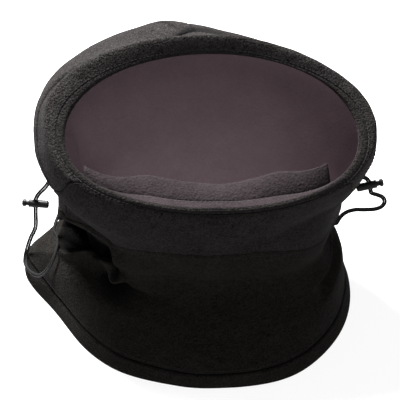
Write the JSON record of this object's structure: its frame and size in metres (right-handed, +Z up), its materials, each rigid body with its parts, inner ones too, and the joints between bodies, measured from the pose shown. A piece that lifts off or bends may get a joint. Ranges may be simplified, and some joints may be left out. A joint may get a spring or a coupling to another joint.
{
  "type": "neck gaiter",
  "caption": "Double-layer fleece hood and neck gaiter with rolled brim, chin mask, flared bib, inner facing and barrel-locked drawcords at both sides.",
  "frame": {"origin": "under the middle of the fabric, on the level that the hem stands on", "axes": "+Z up, the face opening and mask look towards -Y, the wearer's left side is +X"},
  "size_m": [0.3008, 0.2282, 0.2287],
  "materials": {
    "fleece_black": "brushed fleece, matt",
    "fleece_grey": "brushed fleece, matt",
    "fleece_pale": "brushed fleece, matt",
    "elastic_cord": "braided cover over elastic",
    "lock_plastic": "moulded, semi-gloss",
    "spring_steel": "wire",
    "eyelet_metal": "pressed"
  },
  "bodies": {
    "hood": {"hem_band": "fleece_black", "bib_front": "fleece_black", "neck_back": "fleece_black", "mask_front": "fleece_black", "crown_left": "fleece_black", "crown_right": "fleece_black", "brim_band": "fleece_black", "face_channel": "fleece_black", "cord_tab_left": "fleece_black", "cord_tab_right": "fleece_black", "lining_neck": "fleece_grey", "lining_mask": "fleece_grey", "lining_hood": "fleece_grey", "inner_flap": "fleece_pale", "cord_left_a": "elastic_cord", "cord_left_b": "elastic_cord", "cord_right_a": "elastic_cord", "cord_right_b": "elastic_cord", "drawcord_hidden": "elastic_cord", "eyelet_left": "eyelet_metal", "eyelet_right": "eyelet_metal"},
    "lock_left": {"lock_left_body": "lock_plastic", "lock_left_spring": "spring_steel"},
    "plunger_left": {"lock_left_plunger": "lock_plastic"},
    "lock_right": {"lock_right_body": "lock_plastic", "lock_right_spring": "spring_steel"},
    "plunger_right": {"lock_right_plunger": "lock_plastic"}
  },
  "joints": [
    {"name": "lock_left_slide", "type": "slide", "parent": "hood", "child": "lock_left", "axis": [-0.1, 0.1, -0.99], "range_m": [0, 0.02]},
    {"name": "lock_left_press", "type": "slide", "parent": "lock_left", "child": "plunger_left", "axis": [0.995, 0.01, -0.0995], "range_m": [0, 0.002], "stiffness_N_per_m": 800, "springref_m": -0.003, "deforming": ["lock_left_spring"]},
    {"name": "lock_right_slide", "type": "slide", "parent": "hood", "child": "lock_right", "axis": [0.2721, 0, -0.9623], "range_m": [-0.0015, 0.0035]},
    {"name": "lock_right_press", "type": "slide", "parent": "lock_right", "child": "plunger_right", "axis": [-0.9623, 0, -0.2721], "range_m": [0, 0.002], "stiffness_N_per_m": 800, "springref_m": -0.003, "deforming": ["lock_right_spring"]}
  ]
}
